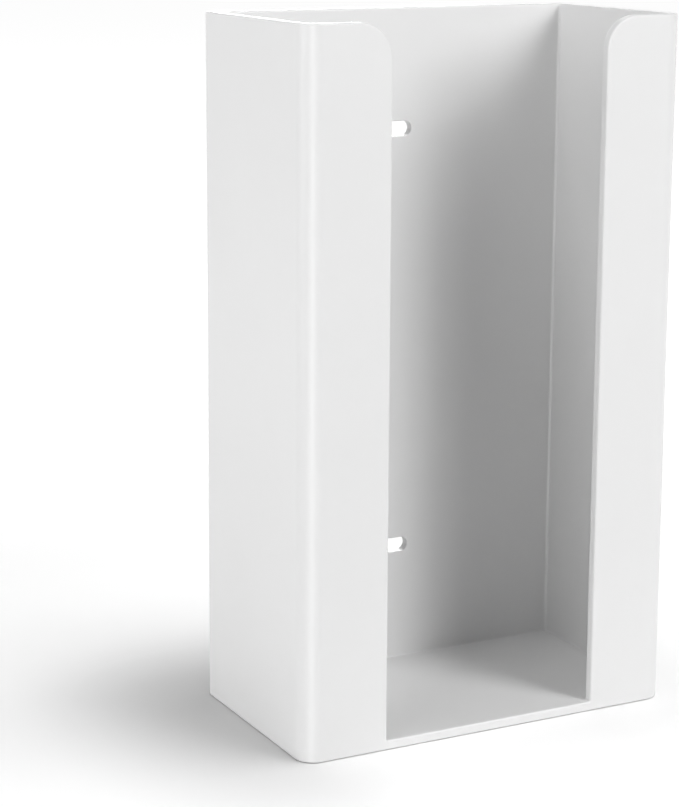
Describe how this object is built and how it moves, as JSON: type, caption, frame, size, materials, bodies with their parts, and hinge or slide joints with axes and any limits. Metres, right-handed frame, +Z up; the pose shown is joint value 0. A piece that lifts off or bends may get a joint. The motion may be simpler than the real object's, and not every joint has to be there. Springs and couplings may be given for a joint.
{
  "type": "disposable glove dispenser",
  "caption": "Open-topped white wall holder for a carton of disposable gloves, with a full-height front window between two round-shouldered flanges and slots in its back for wall screws.",
  "frame": {"origin": "centre of the base, where the dispenser stands", "axes": "+Z up along the dispenser's height, +X along its width, -Y out of the front window, +Y into the wall that it is fixed to"},
  "size_m": [0.148, 0.078, 0.25],
  "materials": {
    "body_plastic": "satin"
  },
  "bodies": {
    "root": {"dispenser_body": "body_plastic"}
  },
  "joints": []
}
